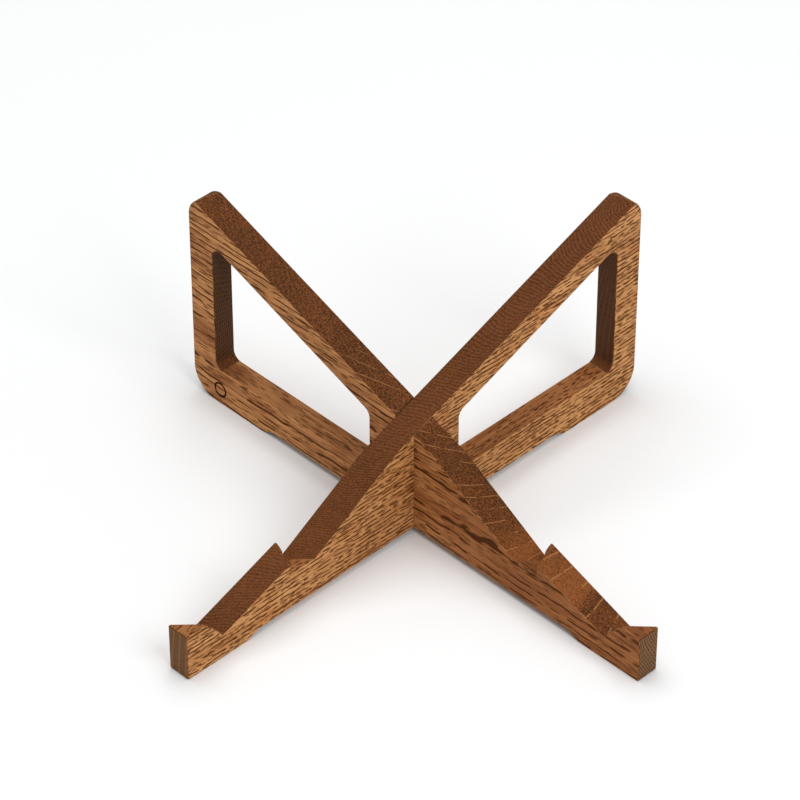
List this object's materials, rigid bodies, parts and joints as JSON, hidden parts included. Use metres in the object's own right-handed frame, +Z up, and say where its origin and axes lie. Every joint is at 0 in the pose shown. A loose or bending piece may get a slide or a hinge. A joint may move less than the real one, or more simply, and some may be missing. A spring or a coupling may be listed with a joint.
{
  "type": "tablet stand",
  "caption": "X-shaped oak tablet stand: crossed edge-on boards in a cross-lap joint, with front hooks, long rests, lipped tablet notches and open rear loops.",
  "frame": {"origin": "on the table, in the middle of the stand's outline seen from above, 1.4 mm in front of the point where the two boards cross", "axes": "+Z up; -Y to the user, where the hooks are; +X to the user's right"},
  "size_m": [0.2256, 0.2228, 0.1209],
  "materials": {
    "left_oak": "oiled oak, satin",
    "right_oak": "oiled oak, satin"
  },
  "bodies": {
    "right_board": {"right_board": "right_oak"},
    "left_board": {"left_board": "left_oak"}
  },
  "joints": [
    {"name": "left_board_lift", "type": "slide", "parent": "right_board", "child": "left_board", "axis": [0, 0, 1], "range_m": [0, 0.045]}
  ]
}
